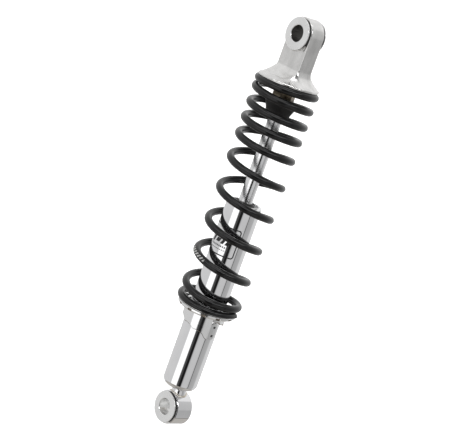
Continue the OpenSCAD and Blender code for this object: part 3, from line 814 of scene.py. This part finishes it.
def stop_lugs(plate_looks, rivet_looks):
    """Two pill-shaped plates on the tube, with a sunk rivet at each end of each."""
    low, high = box_mm("stop_lugs")
    tube_r = box_mm("outer_tube")[1][0]
    half_w, half_h, face_r = -low[1], (high[2] - low[2]) / 2, high[0]
    middle_z = mid_z(low, high)
    rivet_low, rivet_high = box_mm("lug_rivets")
    rivet_r = rivet_high[1]
    rivet_z = (rivet_high[2] - rivet_low[2]) / 2 - rivet_r

    def on_tube(side, across, up, r):
        """A point of a plate laid round the tube; side is 1 at +X and -1 at -X."""
        a = across / tube_r
        return (side * r * math.cos(a), side * r * math.sin(a), middle_z + up)

    def disc(side, up, radius, rings, count=28):
        """Domed or dished disc, whose rings give (share of the radius, r)."""
        turns = [2 * math.pi * i / count for i in range(count)]
        points = [
            on_tube(side, share * radius * math.cos(a), up + share * radius * math.sin(a), r)
            for share, r in rings for a in turns
        ]
        return points, end_caps(len(rings), count) + strip_faces(len(rings), count)

    def pill(side, count=72):
        """Plate with round ends and an eased edge, whose rings give (inset, r)."""
        straight = half_h - half_w
        rings = [
            (half_w - 0.1, face_r), (0.55, face_r), (0.2, face_r - 0.12), (0.04, face_r - 0.42),
            (0.0, tube_r - 0.1)
        ]
        points = []
        for inset, r in rings:
            for i in range(count):
                a = 2 * math.pi * (i + 0.5) / count
                across = (half_w - inset) * math.cos(a)
                up = (half_w - inset) * math.sin(a) + math.copysign(straight, math.sin(a))
                points.append(on_tube(side, across, up, r))
        return points, end_caps(len(rings), count) + strip_faces(len(rings), count)

    plates = joined("stop_lug_plates", [pill(1), pill(-1)])
    place(plates, "damper_body", "cam_chrome", plate_looks, "stop_lugs")
    rims = [
        (1.0, tube_r), (1.0, face_r + 0.02), (0.8, face_r + 0.05), (0.6, face_r + 0.02), (0.1, face_r + 0.01)
    ]
    rivets = joined("lug_rivets_sunk", [
        disc(side, up, rivet_r + 0.15, rims) for side in (1, -1) for up in (-rivet_z, rivet_z)
    ])
    place(rivets, "damper_body", "plain_steel", rivet_looks, "lug_rivets")


def label():
    """Foil label wrapped round the tube."""
    low, high = box_mm("label")
    tube_r = box_mm("outer_tube")[1][0]
    outer_r = tube_r + LABEL_T
    across, up = 72, 14
    start, end = LABEL_ANGLES
    points, uv, faces = [], [], []
    for layer_r in (outer_r, tube_r - 0.02):
        for i in range(across + 1):
            a = math.radians(start + (end - start) * i / across)
            for j in range(up + 1):
                z = low[2] + (high[2] - low[2]) * j / up
                points.append((layer_r * math.cos(a), layer_r * math.sin(a), z))
                uv.append((i / across, j / up))
    inner = (across + 1) * (up + 1)
    for i in range(across):
        for j in range(up):
            a, b = i * (up + 1) + j, (i + 1) * (up + 1) + j
            faces.append((a, b, b + 1, a + 1))
            faces.append((inner + a, inner + a + 1, inner + b + 1, inner + b))
    for i in range(across):
        for j in (0, up):
            a, b = i * (up + 1) + j, (i + 1) * (up + 1) + j
            faces.append((a, b, inner + b, inner + a))
    for j in range(up):
        for i in (0, across):
            a = i * (up + 1) + j
            faces.append((a, a + 1, inner + a + 1, inner + a))
    sheet = add_object("label_sheet", points, faces, sharp=50.0, uv=uv)
    width = math.radians(end - start) * outer_r
    place(sheet, "damper_body", "label_foil", label_foil(width, high[2] - low[2]), "label")


# ---------------------------------------------------------------- spring seat and preload cam

def spring_seat(looks):
    """Plated washer with the lip that centres the spring."""
    low, high = box_mm("spring_seat")
    plate_top = COIL_LOW[2] - 0.1
    inner = box_mm("outer_tube")[1][0] + TUBE_CLEARANCE
    pilot_r = COIL_R - WIRE_R - 0.6
    seat = turned("spring_seat_pressed", rounded([
        (inner, low[2]), (high[0], low[2], 0.3), (high[0], plate_top, 0.3), (pilot_r, plate_top, 0.3),
        (pilot_r - 0.2, high[2], 0.35), (pilot_r - 1.4, high[2], 0.35), (pilot_r - 1.5, plate_top, 0.3),
        (inner, plate_top, 0.2)
    ]), stations=200)
    place(seat, "seat_plate", "cam_chrome", looks, "spring_seat")


def cam_edge(angle, lug_top, end_z):
    """Height of the cam's lower edge, that many degrees past the first notch."""
    ramp_end = STEP_ANGLE * (STEPS - 1) + 14
    drop_end = CAM_WALL_ANGLE - 3
    floor = lug_top + CAM_CLEAR
    slope = STEP_LIFT / STEP_ANGLE
    if angle >= CAM_WALL_ANGLE:
        return floor + NOTCH_DEPTH
    if angle > ramp_end:
        top = floor - slope * ramp_end
        share = (drop_end - min(angle, drop_end)) / (drop_end - ramp_end)
        return end_z + (top - end_z) * share**1.5
    nearest = min(STEPS - 1, max(0, round(angle / STEP_ANGLE)))
    off = math.radians(angle - nearest * STEP_ANGLE) * CAM_OUT_R / NOTCH_HALF_W
    notch = NOTCH_DEPTH * math.sqrt(1 - off * off) if abs(off) < 1 else 0.0
    return floor - slope * angle + notch


def preload_cam(looks, edge_tint):
    """Cam ring: slotted flange over a skirt with a notched ramp for each lug."""
    low, high = box_mm("preload_cam")
    flange_r, top, end_z = high[0], high[2], low[2]
    skirt_top = top - CAM_RIM_H
    inner = box_mm("outer_tube")[1][0] + TUBE_CLEARANCE
    lug_top = box_mm("stop_lugs")[1][2]
    slot_top = skirt_top + 2.6
    slot_centre = flange_r + 0.6
    slot_pitch = 360 / SPANNER_SLOTS
    underside = rounded([
        (CAM_OUT_R, skirt_top - 4.0), (CAM_OUT_R, skirt_top - 0.6, 1.2),
        (flange_r - 1.2, skirt_top + 0.3, 1.2), (flange_r, skirt_top + 1.5, 0.6), (flange_r, top)
    ], steps=6)[1:-1]

    def slot_radius(degrees):
        """Radius that a spanner slot leaves at this angle."""
        off = math.radians((degrees % slot_pitch) - slot_pitch / 2)
        across = slot_centre * math.sin(off)
        if abs(across) >= SLOT_R:
            return flange_r
        return min(flange_r, slot_centre * math.cos(off) - math.sqrt(SLOT_R**2 - across**2))

    def outline(degrees):
        edge = cam_edge(degrees % 180, lug_top, end_z)
        cut = slot_radius(degrees)
        below = [(min(r, cut), z) for r, z in underside]
        return (
            [(inner, edge + 0.3), (inner + 0.3, edge), (CAM_OUT_R - 0.6, edge), (CAM_OUT_R - 0.2, edge + 0.2),
             (CAM_OUT_R, edge + 0.6)]
            + below
            + [(cut, slot_top), (flange_r, slot_top), (flange_r, top - 0.35), (flange_r - 0.1, top - 0.1),
               (flange_r - 0.35, top), (inner + 0.3, top), (inner, top - 0.3)]
        )

    cam = turned("preload_cam_cut", outline, stations=720, sharp=42.0)
    place(cam, "cam_ring", "cam_chrome", looks, "preload_cam")
    # The spanner slot walls and the cam's lower edge get a darker, brownish steel.
    cam.data.materials.append(edge_tint)
    for face in cam.data.polygons:
        x, y, z = face.center / MM
        degrees = math.degrees(math.atan2(y, x))
        r = math.hypot(x, y)
        in_slot = r < flange_r - 0.05 and z < slot_top + 0.05 and r > slot_radius(degrees) - 0.3
        at_edge = z < cam_edge(degrees % 180, lug_top, end_z) + 0.6 and r > CAM_OUT_R - 0.6
        if (in_slot and slot_radius(degrees) < flange_r - 0.1) or at_edge:
            face.material_index = 1


# ---------------------------------------------------------------- internals, light and camera

def carried_over(materials):
    """The inner CAD nodes keep their shape and get eased edges and their material."""
    for name, looks in materials.items():
        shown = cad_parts[name]
        shown.data.materials.clear()
        shown.data.materials.append(looks)
        weld = shown.modifiers.new("weld", "WELD")
        weld.merge_threshold = 0.002 * MM
        ease = shown.modifiers.new("eased_edges", "BEVEL")
        ease.width = 0.15 * MM
        ease.segments = 2
        ease.limit_method = "ANGLE"
        ease.angle_limit = math.radians(40)
        keep_flats_flat(shown)


def grey(level):
    """Neutral colour of one brightness."""
    return (level, level, level)


def studio_world():
    """Plain white studio whose panels and gaps give the chrome its upright stripes.

    Stripes give (degrees from the camera, brightness); bands give (start height, end height, colour behind,
    colour in front) on the unit sphere, each laid over the ones before it.
    """
    world = bpy.data.worlds.new("studio")
    bpy.context.scene.world = world
    world.use_nodes = True
    tree = world.node_tree
    tree.nodes.clear()
    where = add_node(tree, "ShaderNodeTexCoord").outputs["Generated"]
    turn = (0, 0, math.radians(90 - CAMERA_AZIMUTH))
    facing = add_node(tree, "ShaderNodeMapping", {"Vector": where, "Rotation": turn}, vector_type="POINT")
    split = add_node(tree, "ShaderNodeSeparateXYZ", {0: facing.outputs[0]})
    azimuth = math_node(tree, "ARCTAN2", split.outputs["Y"], split.outputs["X"])
    share = math_node(tree, "ADD", math_node(tree, "DIVIDE", azimuth, 2 * math.pi), 0.5)
    panels = add_node(tree, "ShaderNodeValToRGB", {"Fac": share})
    stripes = [
        (-180, 0.68), (-100, 0.68), (-57, 0.66), (-54, 1.25), (-16, 1.25), (-14.5, 0.085),
        (-3, 0.06), (0, 0.012), (12, 0.012), (16, 0.5), (24, 0.6), (52, 0.6), (61, 0.5), (62, 0.03),
        (64, 0.03), (66, 0.4), (104, 0.47), (108, 0.68), (180, 0.76)
    ]
    ramp = panels.color_ramp
    for i, (degrees, level) in enumerate(stripes):
        stop = ramp.elements[i] if i < 2 else ramp.elements.new(degrees / 360 + 0.5)
        stop.position = degrees / 360 + 0.5
        stop.color = (*grey(level), 1)
    lit = panels.outputs["Color"]
    height = split.outputs["Z"]
    frontness = spread(tree, math_node(tree, "ABSOLUTE", azimuth), 1.0, 0.0, 0.9, 1.3)
    brighter = vector_node(tree, "MULTIPLY", lit, grey(1.25))
    bands = [
        (0.0, 0.1, brighter, grey(0.06)), (0.47, 0.48, brighter, grey(6.5)),
        (0.58, 0.59, brighter, grey(0.12)), (0.93, 0.94, grey(0.8), grey(5.0)),
        (0.98, 0.985, grey(0.8), grey(0.8)),
        (-0.62, -0.63, (0.2, 0.19, 0.18), (0.2, 0.19, 0.18)),
        (-0.65, -0.66, (0.5, 0.48, 0.45), (0.36, 0.34, 0.31)), (-0.985, -0.99, grey(0.12), grey(0.12))
    ]
    for start, end, behind, ahead in bands:
        share = spread(tree, height, 0.0, 1.0, start, end)
        lit = mix(tree, share, lit, mix(tree, frontness, behind, ahead))
    seen = add_node(tree, "ShaderNodeLightPath").outputs["Is Camera Ray"]
    colour = mix(tree, seen, lit, grey(1.0))
    light = add_node(tree, "ShaderNodeBackground", {"Color": colour, "Strength": 1.0})
    out = add_node(tree, "ShaderNodeOutputWorld")
    tree.links.new(light.outputs[0], out.inputs["Surface"])


def studio_floor():
    """A wide pale floor well below the part."""
    drop, half = 250, 30000
    z = cad_bounds[0].z / MM - drop
    corners = [(-half, -half, z), (half, -half, z), (half, half, z), (-half, half, z)]
    plane = add_object("studio_floor", corners, [(0, 1, 2, 3)])
    plane.data.materials.append(floor_paint())
    plane.visible_glossy = False


def direction(azimuth, elevation):
    """Unit vector towards a place round the part; azimuth 0 is on the -Y side and 90 on the +X side."""
    a, e = math.radians(azimuth), math.radians(elevation)
    return Vector((math.sin(a) * math.cos(e), -math.cos(a) * math.cos(e), math.sin(e)))


def photo_camera():
    """The camera at the photograph's viewing angle."""
    made = bpy.data.cameras.new("photo_camera")
    made.sensor_width = SENSOR_WIDTH
    made.lens = CAMERA_LENS
    made.clip_start, made.clip_end = 0.05, 100
    camera = bpy.data.objects.new("photo_camera", made)
    bpy.context.scene.collection.objects.link(camera)
    back = direction(CAMERA_AZIMUTH, CAMERA_ELEVATION)
    roll = Matrix.Rotation(math.radians(CAMERA_ROLL), 4, "Z")
    turn = (-back).to_track_quat("-Z", "Y").to_matrix().to_4x4() @ roll
    camera.matrix_world = Matrix.Translation((Vector(CAMERA_AIM) + back * CAMERA_DISTANCE) * MM) @ turn
    bpy.context.scene.camera = camera


# ---------------------------------------------------------------- assembly

photo_camera()
studio_world()
studio_floor()
bpy.context.scene.view_settings.view_transform = "Standard"

eye_z = mid_z(*box_mm("upper_bush_sleeve"))
lower_front, lower_back = (corner[1] for corner in box_mm("lower_eye"))
aluminium = cast_aluminium()
upper_steel = satin_steel("upper_satin_steel", eye_z)
lower_steel = satin_steel("lower_satin_steel", 0.0)
tube_chrome = chrome("tube_chrome", (0.88, 0.88, 0.89), 0.02, 0.02, (1, 1, 30), 0.006)
rod_chrome = ground_chrome()
cam_chrome = chrome("cam_chrome", (0.87, 0.87, 0.87), 0.05, 0.07, (1, 1, 1), 0.02)
rubber = black_rubber()
zinc = plain_metal("yellow_zinc", (0.1, 0.075, 0.045), (0.36, 0.31, 0.24), 0.22)
steel = plain_metal("plain_steel", (0.38, 0.37, 0.36), (0.6, 0.6, 0.6), 0.28, (1, 1, 4))
# Dark brownish steel, used on the cam's slot walls and lower edge.
dark_brown_steel = plain_metal("dark_brown_steel", (0.12, 0.1, 0.08), (0.3, 0.26, 0.22), 0.3)
dark_steel = plain_metal("dark_steel", (0.05, 0.05, 0.05), (0.12, 0.12, 0.12), 0.4)
weld_steel = plain_metal("weld_steel", (0.55, 0.48, 0.38), (0.8, 0.77, 0.72), 0.2)
polished_bore = plain_metal("polished_bore", (0.66, 0.66, 0.65), (0.84, 0.84, 0.83), 0.12, (1, 5, 1))
machined_aluminium = plain_metal("machined_aluminium", (0.7, 0.7, 0.69), (0.84, 0.84, 0.83), 0.25, (4, 4, 1))
plastic = bearing_plastic()
brass = plain_metal("valve_brass", (0.5, 0.37, 0.15), (0.72, 0.56, 0.28), 0.25)
spring_paint = black_spring_paint()

top_eye(aluminium)
bush_sleeve("upper_bush_sleeve", "upper_sleeve", upper_steel, dark_bore())
bush_sleeve("lower_bush_sleeve", "lower_sleeve", lower_steel, polished_bore)
upper_collar(upper_steel)
bush_rubber("upper_bush_rubber", "top_mount", rubber, -TANG_T / 2, TANG_T / 2)
bush_rubber("lower_bush_rubber", "damper_body", rubber, lower_front, lower_back)
lower_eye(tube_chrome, weld_steel)

lock_nut(zinc)
bump_stop(rubber)
piston_rod(rod_chrome)
coil_piece("coil_spring_lower", 0, SPLIT_TURN, spring_paint)
coil_piece("coil_spring_upper", SPLIT_TURN, COIL_TURNS, spring_paint)
spring_seat(cam_chrome)
preload_cam(cam_chrome, dark_brown_steel)

outer_tube(tube_chrome)
seal_parts(steel, rubber)
stop_lugs(cam_chrome, dark_steel)
label()

carried_over({
    "inner_tube": steel, "base_valve": brass, "base_valve_bolt": dark_steel, "rod_guide": machined_aluminium,
    "guide_bush": plastic, "rod_seal": rubber, "piston": machined_aluminium, "piston_band": plastic,
    "piston_shims": steel, "piston_nut": dark_steel, "top_out_bumper": rubber,
})
